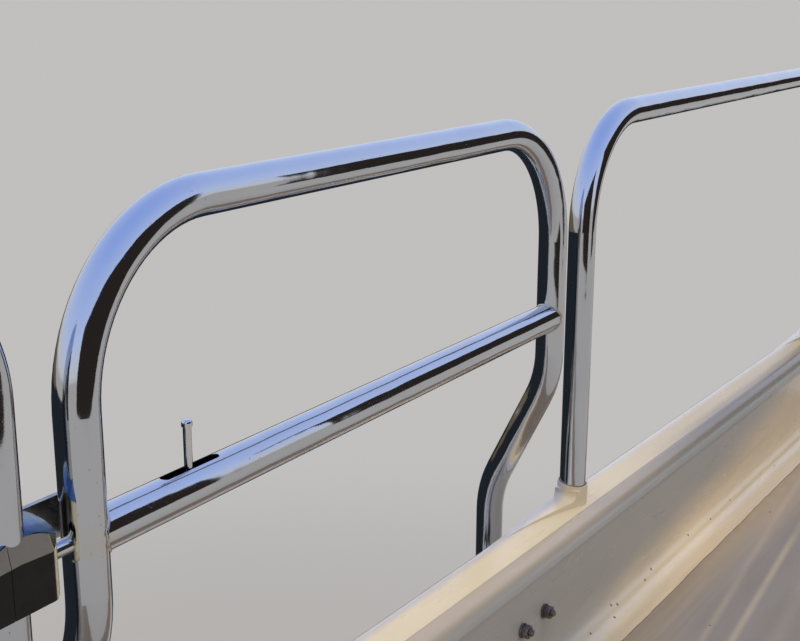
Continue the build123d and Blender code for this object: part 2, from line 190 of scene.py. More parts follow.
class Wire:
    """An output socket that takes part in Python arithmetic."""

    def __init__(self, graph: Graph, socket: bpy.types.NodeSocket) -> None:
        """Wrap a socket of a graph."""
        self.graph = graph
        self.socket = socket

    def __add__(self, other: Any) -> "Wire":
        """Sum."""
        return self.graph.maths("ADD", self, other)

    __radd__ = __add__

    def __sub__(self, other: Any) -> "Wire":
        """Difference."""
        return self.graph.maths("SUBTRACT", self, other)

    def __rsub__(self, other: Any) -> "Wire":
        """Difference, reflected."""
        return self.graph.maths("SUBTRACT", other, self)

    def __mul__(self, other: Any) -> "Wire":
        """Product."""
        return self.graph.maths("MULTIPLY", self, other)

    __rmul__ = __mul__

    def __truediv__(self, other: Any) -> "Wire":
        """Quotient."""
        return self.graph.maths("DIVIDE", self, other)

    def __rtruediv__(self, other: Any) -> "Wire":
        """Quotient, reflected."""
        return self.graph.maths("DIVIDE", other, self)

    def __abs__(self) -> "Wire":
        """Size without sign."""
        return self.graph.maths("ABSOLUTE", self)

    def ramp(self, low: float, high: float, to_low: float = 0.0, to_high: float = 1.0) -> "Wire":
        """Smooth step between two values.

        Args:
            low: value where the step begins.
            high: value where it ends.
            to_low: result up to low.
            to_high: result from high on.

        Returns:
            The stepped value.
        """
        return self.graph.node("ShaderNodeMapRange", {"interpolation_type": "SMOOTHSTEP"}, {
            "Value": self, "From Min": low, "From Max": high, "To Min": to_low, "To Max": to_high,
        })

    def near(self, middle: float, inner: float, outer: float) -> "Wire":
        """1 within inner of a middle value, falling to 0 at outer from it."""
        return 1 - abs(self - middle).ramp(inner, outer)


class Surface(Graph):
    """A material with one Principled shader."""

    def __init__(self, name: str, **uniform: Any) -> None:
        """Start a material.

        Args:
            name: material name.
            uniform: values on the shader's own sockets, spaces written as underscores.
        """
        self.material = bpy.data.materials.new(name)
        self.material.use_nodes = True
        super().__init__(self.material.node_tree)
        self.tree.nodes.clear()
        self.shader = self.tree.nodes.new("ShaderNodeBsdfPrincipled")
        self.output = self.tree.nodes.new("ShaderNodeOutputMaterial")
        self.tree.links.new(self.shader.outputs[0], self.output.inputs[0])
        for key, value in uniform.items():
            self.drive(key.replace("_", " "), value)
        self.place = self.node("ShaderNodeTexCoord", out="Object")

    def noise(self, scale: float, detail: float = 4.0, stretch: Optional[Point] = None) -> Wire:
        """Noise from 0 to 1 in object space.

        Args:
            scale: features per metre, about.
            detail: octaves.
            stretch: factors on the coordinates, for grain that runs one way.

        Returns:
            The noise value.
        """
        where = self.vector("MULTIPLY", self.place, stretch) if stretch else self.place
        return self.node(
            "ShaderNodeTexNoise", {},
            {"Vector": where, "Scale": scale, "Detail": detail, "Roughness": 0.5}, "Fac",
        )

    def axes(self) -> tuple[Wire, Wire, Wire]:
        """Object space x, y and height above the falling underside."""
        x, y, z = self.split(self.place)
        return x, y, z + x * FALL

    def bump(self, height: Wire, distance: float) -> None:
        """Drive the shader's normal from a height, in metres of relief."""
        sockets = {"Height": height, "Distance": distance, "Strength": 1.0}
        self.drive("Normal", self.node("ShaderNodeBump", {}, sockets))

    def drive(self, socket: str, value: Any) -> None:
        """Feed one of the shader's sockets."""
        self.feed(self.shader.inputs[socket], value)


@dataclass(frozen=True)
class Polished:
    """Polished stainless steel tube, with water marks and tea staining."""

    name: str
    tint: Colour = (0.565, 0.575, 0.60)
    rough: float = 0.07
    relief: float = 0.00176
    freckles: float = 1.0
    straw: Colour = (0.66, 0.52, 0.33)
    rust: Colour = (0.22, 0.14, 0.09)
    heated: tuple[Point, ...] = ()

    def material(self) -> bpy.types.Material:
        """Build the material.

        Returns:
            Steel with hazy patches, dried drops, rust freckles and straw colour by the welds.
        """
        s = Surface(self.name, Metallic=1.0)
        haze = s.noise(9.0, 3.0).ramp(0.42, 0.7)
        marks = s.noise(420.0, 2.0).ramp(0.715, 0.78) * self.freckles
        cells = {"Vector": s.place, "Scale": 95.0}
        drops = s.node("ShaderNodeTexVoronoi", {"feature": "F1"}, cells, "Distance")
        rings = drops.near(0.27, 0.0, 0.05) * s.noise(23.0, 2.0).ramp(0.56, 0.66)
        tone = s.mix(haze * 0.35, self.tint, shade(self.tint, 0.9))
        for spot in self.heated:
            away = s.vector("DISTANCE", s.place, spot, out="Value")
            tone = s.mix((1 - away.ramp(0.010, 0.024)) * 0.35, tone, self.straw)
        s.drive("Base Color", s.mix(marks * 0.5, tone, self.rust))
        s.drive("Roughness", haze * 0.035 + self.rough + rings * 0.1 + marks * 0.4)
        s.bump(s.noise(16.0, 1.5) + s.noise(900.0, 2.0) * 0.004, self.relief)
        return s.material


@dataclass(frozen=True)
class Dull:
    """Cast, cut or bead-blasted steel, duller than the tubes."""

    name: str
    tint: Colour
    rough: float
    grime: float
    rust: Colour = (0.13, 0.08, 0.05)

    def material(self) -> bpy.types.Material:
        """Build the material.

        Returns:
            Steel with clouds of grime, pits and a cast grain.
        """
        s = Surface(self.name, Metallic=1.0)
        grain = s.noise(1500.0, 3.0)
        cloud = s.noise(60.0, 5.0).ramp(0.35, 0.7)
        pits = s.noise(520.0, 2.0).ramp(0.66, 0.76)
        tone = s.mix(cloud * self.grime, self.tint, shade(self.tint, 0.55))
        s.drive("Base Color", s.mix(pits * 0.6, tone, self.rust))
        s.drive("Roughness", cloud * 0.16 + self.rough + pits * 0.25)
        s.bump(grain * 0.2 + cloud, 0.00012)
        return s.material


@dataclass(frozen=True)
class KeeperSteel:
    """Cast keeper: turned crown in painted sky reflection, filed bevel, painted dark face, painted
    corner glints.
    """

    name: str
    axis_x: float = -0.403
    crown_at: Point = (-0.399, 0.016, 0.343)
    crown_r: float = 0.070
    face_y: float = -0.0195
    bevel_z: float = 0.393
    bevel_slope: float = 2.2
    bevel_fall: float = 0.05
    corner_x: float = 0.0240
    tool_marks: float = 5200.0
    # Crown colours are painted blue sky reflection, face colour painted dark reflection, corner
    # colour a painted glint
    crown: Colour = (0.075, 0.13, 0.22)
    ring: Colour = (0.24, 0.32, 0.44)
    bevel: Colour = (0.25, 0.235, 0.215)
    face_painted_dark_reflection: Colour = (0.030, 0.029, 0.029)
    corner_painted_glint: Colour = (0.98, 0.91, 0.70)
    rust: Colour = (0.10, 0.06, 0.04)

    def material(self) -> bpy.types.Material:
        """Build the material.

        Returns:
            One steel for the crown, bevel, faces and corners, told apart by their place,
            with painted sky and dark reflections and painted glints.
        """
        s = Surface(self.name, Metallic=1.0)
        x, y, z = s.split(s.place)
        cloud = s.noise(85.0, 5.0).ramp(0.3, 0.72)
        pits = s.noise(520.0, 2.0).ramp(0.66, 0.76)
        away = abs(x - self.axis_x)
        reach = s.maths("SQRT", away * away + y * y)
        turned = s.maths("SINE", reach * self.tool_marks) * s.noise(160.0, 2.0).ramp(0.3, 0.7)
        depth = s.vector("DISTANCE", s.place, self.crown_at, out="Value")
        crown = depth.ramp(self.crown_r - 0.0007, self.crown_r - 0.0003)
        filed = (y - self.face_y) * self.bevel_slope - (z - self.bevel_z) - away * self.bevel_fall
        bevel = (1 - abs(filed).ramp(0.0002, 0.0006)) * (1 - crown)
        corner = away.ramp(self.corner_x, self.corner_x + 0.0012) * (1 - crown)
        # Face: painted dark reflection, near black, in random clouds
        tone = s.mix(cloud * 0.6, self.face_painted_dark_reflection, shade(self.face_painted_dark_reflection, 1.7))
        tone = s.mix(bevel, tone, s.mix(cloud * 0.3, self.bevel, shade(self.bevel, 0.7)))
        # Painted glint on the rounded corners
        tone = s.mix(corner, tone, self.corner_painted_glint)
        # Crown: painted blue sky reflection, lighter along the real turning rings
        tone = s.mix(crown, tone, s.mix((turned * 0.5 + 0.5) * cloud, self.crown, self.ring))
        s.drive("Base Color", s.mix(pits * 0.5, tone, self.rust))
        s.drive("Metallic", 1 - bevel * (1 - corner) * 0.8)
        shine = s.strongest([crown, corner])
        s.drive("Roughness", 0.34 + cloud * 0.14 + pits * 0.2 - shine * 0.22)
        s.bump(cloud + s.noise(1500.0, 3.0) * 0.2 + turned * crown * 0.35, 0.00010)
        return s.material


@dataclass(frozen=True)
class Gelcoat:
    """White gelcoat of the bulwark: yellowed cap in painted warm light, painted sky light on its
    edge, inner face greyer as painted shade with painted warm light at its foot, painted shadow
    and dirt in the crease, dirt in the cove.

    Heights are over the falling underside. Far colours and greys, painted light and shade that
    change along the bulwark, hold further along it.
    """

    name: str
    scratches: tuple[tuple[float, float, float, float], ...]
    # Outer edge colours: painted cool sky light
    edge: Colour = (0.56, 0.56, 0.64)
    far_edge_painted_sky: Colour = (0.74, 0.75, 0.80)
    # Band colour: real yellowing with painted warm sunlight
    band: Colour = (0.90, 0.78, 0.56)
    # Grey and far band colours: painted shade
    band_painted_shade: Colour = (0.58, 0.48, 0.31)
    far_band_painted_shade: Colour = (0.33, 0.28, 0.22)
    # Roll colours: painted light, greying to painted shade along the bulwark
    roll: Colour = (0.60, 0.51, 0.41)
    roll_painted_shade: Colour = (0.235, 0.21, 0.17)
    # Face colours: greyer than the cap as painted shade; glow colours: painted warm light
    face: Colour = (0.48, 0.47, 0.45)
    cool_face: Colour = (0.42, 0.43, 0.45)
    painted_glow: Colour = (1.0, 0.82, 0.56)
    far_painted_glow: Colour = (0.84, 0.70, 0.50)
    hull: Colour = (0.74, 0.73, 0.70)
    old_hull: Colour = (0.66, 0.63, 0.57)
    dirt: Colour = (0.46, 0.33, 0.20)
    grit: Colour = (0.2, 0.14, 0.08)
    scored: Colour = (0.90, 0.89, 0.85)
    glow_x: float = 0.3
    glow_rise: float = 0.11
    turn_h: float = 0.1375
    crease_y: float = -0.0215
    cove_y: float = -0.088

    def scratch(self, x: Wire, h: Wire, ends: tuple[float, float, float, float]) -> Wire:
        """Mask of one straight scratch on the inner face.

        Args:
            x: place along the bulwark.
            h: height over the underside.
            ends: x and height of both ends.

        Returns:
            1 on the scratch, 0 off it.
        """
        x0, h0, x1, h1 = ends
        run = math.hypot(x1 - x0, h1 - h0)
        ux, uh = (x1 - x0) / run, (h1 - h0) / run
        along = (x - x0) * ux + (h - h0) * uh
        off = abs((h - h0) * ux - (x - x0) * uh)
        inside = along.ramp(0.0, 0.004) * (1 - along.ramp(run - 0.004, run))
        return inside * (1 - off.ramp(0.0002, 0.0012))

    def material(self) -> bpy.types.Material:
        """Build the material.

        Returns:
            One gelcoat for the inner face, the roll, the cap and the outer face.
        """
        s = Surface(self.name, Coat_Roughness=0.12, Specular_IOR_Level=0.5)
        x, y, h = s.axes()
        broad = s.noise(2.2, 3.0, (1.0, 6.0, 6.0)).ramp(0.3, 0.72)
        cloud = s.noise(14.0, 4.0, (0.4, 1.0, 1.0)).ramp(0.35, 0.75)
        streaky = s.noise(9.0, 5.0, (0.35, 8.0, 8.0)).ramp(0.3, 0.7)
        brushed = s.noise(30.0, 5.0, (0.12, 1.0, 1.0)).ramp(0.3, 0.7)
        onward = x.ramp(0.28, 0.85)

        # Inner face, greyer than the cap as painted shade, with painted warm light towards its
        # foot
        tone = s.mix(broad * 0.6, self.face, self.cool_face)
        rise = (x - self.glow_x) * self.glow_rise
        low = (h - rise + (broad - 0.5) * 0.02).ramp(-0.006, 0.056)
        warm_painted_light = (1 - low) * x.ramp(0.20, 0.50, 0.35, 1.0) * (0.8 + brushed * 0.2)
        tone = s.mix(warm_painted_light, tone, s.mix(x.ramp(0.60, 0.90), self.painted_glow, self.far_painted_glow))

        # Roll under the cap in painted light that greys to painted shade along the bulwark, and a
        # painted shadow line at the turn below it
        tone = s.mix(h.ramp(0.136, 0.149), tone, s.mix(onward, self.roll, self.roll_painted_shade))
        # Painted shadow line at the turn below the roll
        turn = h.near(self.turn_h, 0.002, 0.011) * (1 - h.ramp(0.144, 0.149))
        tone = s.mix(turn * x.ramp(0.3, 0.9, 0.35, 0.8), tone, shade(self.cool_face, 0.55))

        # Cap: yellowed band in painted warm light, painted shade further along and inside, painted
        # sky light on the outer edge
        top = y.ramp(-0.0222, -0.0208) * h.ramp(0.140, 0.146)
        tone = s.mix(top, tone, s.mix(onward * 0.8, self.band, self.band_painted_shade))
        inner = top * (1 - y.ramp(-0.018, -0.008))
        # Painted shade on the inner side of the cap, further along the bulwark
        tone = s.mix(inner * x.ramp(0.55, 0.90, 0.0, 0.7), tone, self.far_band_painted_shade)
        # Painted cool sky light on the cap's outer edge
        outer = top * y.ramp(-0.002, 0.009)
        tone = s.mix(outer * (0.8 + broad * 0.2), tone,
                     s.mix(x.ramp(0.32, 0.60), self.edge, self.far_edge_painted_sky))

        # Outer face, with faint runs
        run = s.noise(26.0, 4.0, (1.0, 1.0, 0.12)).ramp(0.45, 0.75)
        tone = s.mix(y.ramp(0.013, 0.0145), tone,
                     s.mix(run * 0.5 + broad * 0.3, self.hull, self.old_hull))
        tone = s.mix(cloud * 0.14, tone, shade(self.roll, 0.8))

        # Painted shadow with some dirt in the crease, dirt in the cove, grit and scratches
        crease = y.near(self.crease_y, 0.0002, 0.0013) * h.ramp(0.14, 0.146)
        cove = y.near(self.cove_y, 0.001, 0.026) * (0.15 + streaky * 0.85)
        # Darker brownish line in the crease: painted shadow, with dirt
        tone = s.mix(crease * (0.35 + streaky * 0.3), tone, shade(self.roll, 0.5))
        tone = s.mix(cove * x.ramp(0.6, 1.0, 0.5, 0.15), tone, self.dirt)
        grit = s.noise(640.0, 2.0).ramp(0.715, 0.75) * s.noise(12.0, 2.0).ramp(0.4, 0.6)
        tone = s.mix(grit * 0.6, tone, self.grit)
        marks = s.strongest([self.scratch(x, h, ends) for ends in self.scratches])
        patchy = s.noise(160.0, 2.0).ramp(0.4, 0.6)
        s.drive("Base Color", s.mix(marks * patchy * 0.3, tone, self.scored))

        scuff = s.noise(12.0, 4.0, (0.3, 2.0, 2.0)).ramp(0.4, 0.75)
        s.drive("Roughness", scuff * 0.08 + 0.26 + cove * 0.3 + grit * 0.3)
        s.drive("Coat Weight", 0.3 - cove * 0.25)
        s.bump(s.noise(8.0, 2.0, (0.3, 2.0, 2.0)) + s.noise(1400.0, 2.0) * 0.003, 0.0005)
        return s.material


@dataclass(frozen=True)
class Deck:
    """Side deck gelcoat, greyer, with worn streaks that run along it.

    Each streak has its y at one x, its slope, that x, its half width and its strength.
    """

    name: str
    streaks: tuple[tuple[float, float, float, float, float], ...]
    base: Colour = (0.245, 0.203, 0.160)
    cool: Colour = (0.195, 0.170, 0.145)
    warm_painted_light: Colour = (0.52, 0.40, 0.275)
    dirt: Colour = (0.36, 0.26, 0.15)
    worn: Colour = (0.60, 0.48, 0.31)
    joint_y: float = -0.09

    def material(self) -> bpy.types.Material:
        """Build the material.

        Returns:
            Deck gelcoat with painted warm light and dirt by its joint with the bulwark.
        """
        s = Surface(self.name, Coat_Roughness=0.15)
        x, y, _ = s.axes()
        cloud = s.noise(8.0, 5.0, (0.5, 3.0, 3.0)).ramp(0.3, 0.75)
        tone = s.mix(cloud * 0.5, self.base, self.cool)
        # Painted warm light by the joint, stronger along the bulwark and in fine streaks
        lit = x.ramp(0.40, 0.95, 0.35, 1.0) * y.near(self.joint_y, 0.0, 0.075)
        tone = s.mix(lit * (0.6 + cloud * 0.4), tone, self.warm_painted_light)
        fine = s.noise(40.0, 5.0, (0.06, 2.2, 2.2)).ramp(0.35, 0.7)
        tone = s.mix(fine * y.near(self.joint_y, 0.0, 0.10) * 0.3, tone, self.warm_painted_light)
        edge = y.near(self.joint_y + 0.001, 0.001, 0.024) * s.noise(30.0, 5.0).ramp(0.25, 0.7)
        tone = s.mix(edge * 0.24, tone, self.dirt)
        lines = []
        for y0, slope, x0, width, strength in self.streaks:
            off = abs(y - (x - x0) * slope - y0)
            patch = s.noise(16.0, 3.0, (0.3, 1.0, 1.0)).ramp(0.15, 0.6)
            lines.append((1 - off.ramp(0.0, width * 1.5)) * patch * strength)
        s.drive("Base Color", s.mix(s.strongest(lines) * 0.6, tone, self.worn))
        s.drive("Roughness", cloud * 0.14 + 0.38 + edge * 0.3)
        s.drive("Coat Weight", 0.12 - edge * 0.1)
        s.bump(s.noise(24.0, 3.0) + s.noise(1200.0, 2.0) * 0.02, 0.0007)
        return s.material


@dataclass(frozen=True)
class Soft:
    """Plain non-metal: plastic, rubber, sealant or grime, with its own bloom."""

    name: str
    base: Colour
    bloom: Colour
    rough: float

    def material(self) -> bpy.types.Material:
        """Build the material.

        Returns:
            The base colour with a cloudy bloom and a fine grain.
        """
        s = Surface(self.name)
        cloud = s.noise(70.0, 5.0).ramp(0.35, 0.7)
        s.drive("Base Color", s.mix(cloud * 0.7, self.base, self.bloom))
        s.drive("Roughness", cloud * 0.15 + self.rough)
        s.bump(s.noise(700.0, 3.0) + cloud, 0.0002)
        return s.material


class Finishes:
    """Every material of the object, built once."""

    def __init__(self) -> None:
        """Build them all."""
        self.gelcoat = Gelcoat("gelcoat_bulwark", (
            (0.300, 0.118, 0.326, 0.131), (0.318, 0.116, 0.352, 0.121),
            (0.334, 0.118, 0.341, 0.127), (0.362, 0.120, 0.391, 0.119),
        )).material()
        self.deck = Deck("gelcoat_deck", (
            (-0.1922, 0.0768, 0.432, 0.0050, 0.80), (-0.1637, 0.0908, 0.414, 0.0048, 0.42),
            (-0.2320, 0.0700, 0.450, 0.0110, 0.22),
        )).material()
        self.tube = Polished("steel_tube").material()
        self.gate_tube = Polished(
            "steel_gate_tube", heated=((-0.331, 0.0, 0.38), (0.331, 0.0, 0.38))
        ).material()
        self.weld = Polished(
            "steel_weld", (0.58, 0.54, 0.48), rough=0.24, relief=0.0032, freckles=0.4
        ).material()
        self.small = Polished(
            "steel_small_parts", (0.66, 0.65, 0.64), rough=0.12, relief=0.0008, freckles=0.3
        ).material()
        self.fastener = Dull("steel_fasteners", (0.24, 0.21, 0.18), 0.24, 0.8).material()
        self.cast = Dull("steel_cast", (0.36, 0.355, 0.35), 0.24, 0.5).material()
        self.keeper = KeeperSteel("steel_keeper").material()
        self.lug = Dull("steel_lug", (0.34, 0.33, 0.33), 0.2, 0.4).material()
        self.plastic, self.rubber, self.sealant, self.grime, self.speck = (
            Soft(name, base, bloom, rough).material() for name, base, bloom, rough in (
                ("plastic_bushes", (0.025, 0.025, 0.027), (0.05, 0.05, 0.052), 0.5),
                ("rubber_pad", (0.018, 0.018, 0.018), (0.05, 0.048, 0.045), 0.62),
                ("sealant_aged", (0.30, 0.27, 0.23), (0.16, 0.13, 0.10), 0.55),
                ("grime_line", (0.24, 0.165, 0.10), (0.40, 0.29, 0.18), 0.8),
                ("specks", (0.10, 0.065, 0.04), (0.22, 0.15, 0.09), 0.75),
            )
        )


def linked(name: str, mesh: bpy.types.Mesh) -> bpy.types.Object:
    """Put a mesh into the scene as an object at the origin.

    Args:
        name: name of the object.
        mesh: its mesh.

    Returns:
        The new object.
    """
    piece = bpy.data.objects.new(name, mesh)
    bpy.context.scene.collection.objects.link(piece)
    return piece


def mesh_object(name: str, verts: Iterable[Any], edges: Iterable[Any] = (),
                faces: Iterable[Any] = (), smooth: bool = True) -> bpy.types.Object:
    """Make a mesh object from lists.

    Args:
        name: name of the object and its mesh.
        verts: points.
        edges: pairs of point numbers, for a line.
        faces: runs of point numbers.
        smooth: whether the faces are shaded smooth.

    Returns:
        The new object.
    """
    mesh = bpy.data.meshes.new(name)
    mesh.from_pydata([tuple(v) for v in verts], list(edges), list(faces))
    for polygon in mesh.polygons:
        polygon.use_smooth = smooth
    return linked(name, mesh)


def finish_piece(piece: bpy.types.Object, body: Body,
                 finish: Optional[bpy.types.Material] = None,
                 replaced: tuple[str, ...] = ()) -> None:
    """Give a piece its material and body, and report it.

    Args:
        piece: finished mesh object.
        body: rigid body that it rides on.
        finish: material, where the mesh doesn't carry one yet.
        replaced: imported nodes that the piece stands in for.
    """
    if finish is not None:
        piece.data.materials.append(finish)
    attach(piece, body.value)
    if replaced:
        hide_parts(*replaced)
    log.info("piece %s: %d faces on %s", piece.name, len(piece.data.polygons), body.value)


def dress(finish: bpy.types.Material, *names: str) -> None:
    """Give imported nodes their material.

    Args:
        finish: the material.
        names: names of the nodes.
    """
    for name in names:
        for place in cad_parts[name].material_slots:
            place.material = finish
        log.info("node %s dressed in %s", name, finish.name)


class Recipe(Graph):
    """A geometry tree with named inputs that ends in one set of real faces."""

    def __init__(self, name: str, inputs: dict[str, float]) -> None:
        """Start the tree.

        Args:
            name: name of the tree.
            inputs: named sizes and their values.
        """
        super().__init__(bpy.data.node_groups.new(name, "GeometryNodeTree"))
        self.values = inputs
        face = self.tree.interface
        face.new_socket("Geometry", in_out="INPUT", socket_type="NodeSocketGeometry")
        self.keys = {
            key: face.new_socket(key, in_out="INPUT", socket_type="NodeSocketFloat").identifier
            for key in inputs
        }
        face.new_socket("Geometry", in_out="OUTPUT", socket_type="NodeSocketGeometry")
        self.entry = self.tree.nodes.new("NodeGroupInput")

    def size(self, key: str) -> Wire:
        """One of the named inputs."""
        return Wire(self, self.entry.outputs[key])

    def shape(self) -> Wire:
        """The geometry that comes in."""
        return Wire(self, self.entry.outputs["Geometry"])

    def end(self, geometry: Wire, finish: bpy.types.Material) -> None:
        """Make the instances real, set the material and close the tree.

        Args:
            geometry: what the tree has made.
            finish: material of all of it.
        """
        real = self.node("GeometryNodeRealizeInstances", {}, {0: geometry})
        smooth = self.node("GeometryNodeSetShadeSmooth", {}, {0: real})
        done = self.node("GeometryNodeSetMaterial", {}, {0: smooth, "Material": finish})
        output = self.tree.nodes.new("NodeGroupOutput")
        self.tree.links.new(done.socket, output.inputs[0])

    def apply(self, source: bpy.types.Object, name: str) -> bpy.types.Object:
        """Run the tree on an object, and remove that object.

        Args:
            source: mesh object that the tree starts from.
            name: name of the finished piece.

        Returns:
            The result as a plain mesh object at the origin.
        """
        modifier = source.modifiers.new(self.tree.name, "NODES")
        modifier.node_group = self.tree
        for key, identifier in self.keys.items():
            modifier[identifier] = float(self.values[key])
        graph = bpy.context.evaluated_depsgraph_get()
        mesh = bpy.data.meshes.new_from_object(source.evaluated_get(graph))
        mesh.name = name
        bpy.data.objects.remove(source)
        return linked(name, mesh)


def weld_recipe(finish: bpy.types.Material, radius: float, pitch: float) -> Recipe:
    """Overlapping ripples of a weld along a line of edges.

    Args:
        finish: material of the bead.
        radius: size of one ripple.
        pitch: distance from ripple to ripple.

    Returns:
        The tree.
    """
    r = Recipe("weld_ripples", {"Radius": radius, "Pitch": pitch, "Squash": 1.4})
    curve = r.node("GeometryNodeMeshToCurve", {}, {0: r.shape()})
    points = r.node(
        "GeometryNodeCurveToPoints", {"mode": "LENGTH"}, {0: curve, "Length": r.size("Pitch")}
    )
    turn = Wire(r, points.socket.node.outputs["Rotation"])
    bead = r.node(
        "GeometryNodeMeshIcoSphere", {}, {"Radius": r.size("Radius"), "Subdivisions": 3}
    )
    squash = r.joined(1.0, 1.0, r.size("Squash"))
    chain = r.node(
        "GeometryNodeInstanceOnPoints", {},
        {0: points, "Instance": bead, "Rotation": turn, "Scale": squash},
    )
    wobble = r.random(0.95, 1.05, 7)
    chain = r.node(
        "GeometryNodeScaleInstances", {}, {0: chain, "Scale": r.joined(wobble, wobble, wobble)}
    )
    r.end(chain, finish)
    return r


def speck_recipe(finish: bpy.types.Material) -> Recipe:
    """Flat irregular specks, one on each small face, laid on the surface that carries it.

    Args:
        finish: material of the specks.

    Returns:
        The tree.
    """
    r = Recipe("specks", {"Size": 0.0012, "Thickness": 0.00022, "Dents": 0.0016})
    grain = r.node("GeometryNodeMeshIcoSphere", {}, {"Radius": r.size("Size"), "Subdivisions": 3})
    nudge = r.node(
        "ShaderNodeTexNoise", {"noise_dimensions": "3D"}, {"Scale": 900.0, "Detail": 2.0}, "Color"
    )
    pull = r.node("ShaderNodeVectorMath", {"operation": "SCALE"}, {
        0: r.vector("SUBTRACT", nudge, (0.5, 0.5, 0.5)), "Scale": r.size("Dents"),
    })
    grain = r.node("GeometryNodeSetPosition", {}, {0: grain, "Offset": pull})
    flat = r.joined(1.0, 1.0, r.size("Thickness") / r.size("Size"))
    facing = r.node(
        "FunctionNodeAlignRotationToVector", {"axis": "Z"},
        {"Vector": r.node("GeometryNodeInputNormal")},
    )
    laid = r.node(
        "GeometryNodeInstanceOnPoints", {},
        {0: r.shape(), "Instance": grain, "Rotation": facing, "Scale": flat},
    )
    laid = r.node(
        "GeometryNodeRotateInstances", {},
        {0: laid, "Rotation": r.joined(z=r.random(0.0, 6.28, 3)), "Local Space": True},
    )
    grow = r.random(0.7, 1.7, 11)
    laid = r.node(
        "GeometryNodeScaleInstances", {},
        {0: laid, "Scale": r.joined(grow, grow * 0.8, 1.0), "Local Space": True},
    )
    r.end(laid, finish)
    return r


def thread_recipe(finish: bpy.types.Material, radius: float, pitch: float, turns: int) -> Recipe:
    """Stack of thread ridges that runs along -Y from each point.

    Args:
        finish: material of the threads.
        radius: middle of the ridges.
        pitch: distance from ridge to ridge.
        turns: number of ridges.

    Returns:
        The tree.
    """
    r = Recipe("thread_ridges", {"Radius": radius, "Pitch": pitch, "Turns": float(turns)})
    ring = r.node(
        "GeometryNodeCurvePrimitiveCircle", {}, {"Resolution": 32, "Radius": r.size("Radius")}
    )
    tooth = r.node(
        "GeometryNodeCurvePrimitiveCircle", {}, {"Resolution": 6, "Radius": r.size("Pitch") * 0.42}
    )
    ridge = r.node("GeometryNodeCurveToMesh", {}, {0: ring, 1: tooth})
    line = r.node(
        "GeometryNodeMeshLine", {"mode": "OFFSET"},
        {"Count": r.size("Turns"), "Offset": r.joined(y=r.size("Pitch") * -1.0)},
    )
    stack = r.node(
        "GeometryNodeInstanceOnPoints", {},
        {0: line, "Instance": ridge, "Rotation": (math.pi / 2, 0.0, 0.0)},
    )
    placed = r.node("GeometryNodeInstanceOnPoints", {}, {0: r.shape(), "Instance": stack})
    r.end(placed, finish)
    return r


def crack_recipe(finish: bpy.types.Material) -> Recipe:
    """Thin line of grime that wanders a little to each side of a straight joint.

    Args:
        finish: material of the line.

    Returns:
        The tree.
    """
    r = Recipe("joint_grime", {"Width": 0.0011, "Wander": 0.0036})
    curve = r.node("GeometryNodeMeshToCurve", {}, {0: r.shape()})
    curve = r.node("GeometryNodeResampleCurve", {}, {0: curve, "Count": 900})
    drift = r.node("ShaderNodeTexNoise", {}, {"Scale": 14.0, "Detail": 5.0}, "Fac") - 0.5
    curve = r.node(
        "GeometryNodeSetPosition", {}, {0: curve, "Offset": r.joined(y=drift * r.size("Wander"))}
    )
    swell = r.node("ShaderNodeTexNoise", {}, {"Scale": 70.0, "Detail": 4.0}, "Fac")
    curve = r.node(
        "GeometryNodeSetCurveRadius", {}, {0: curve, "Radius": swell.ramp(0.3, 0.75, 0.35, 1.25)}
    )
    section = r.node(
        "GeometryNodeCurvePrimitiveCircle", {}, {"Resolution": 8, "Radius": r.size("Width") / 2}
    )
    tube = r.node("GeometryNodeCurveToMesh", {}, {0: curve, 1: section, "Fill Caps": True})
    r.end(tube, finish)
    return r


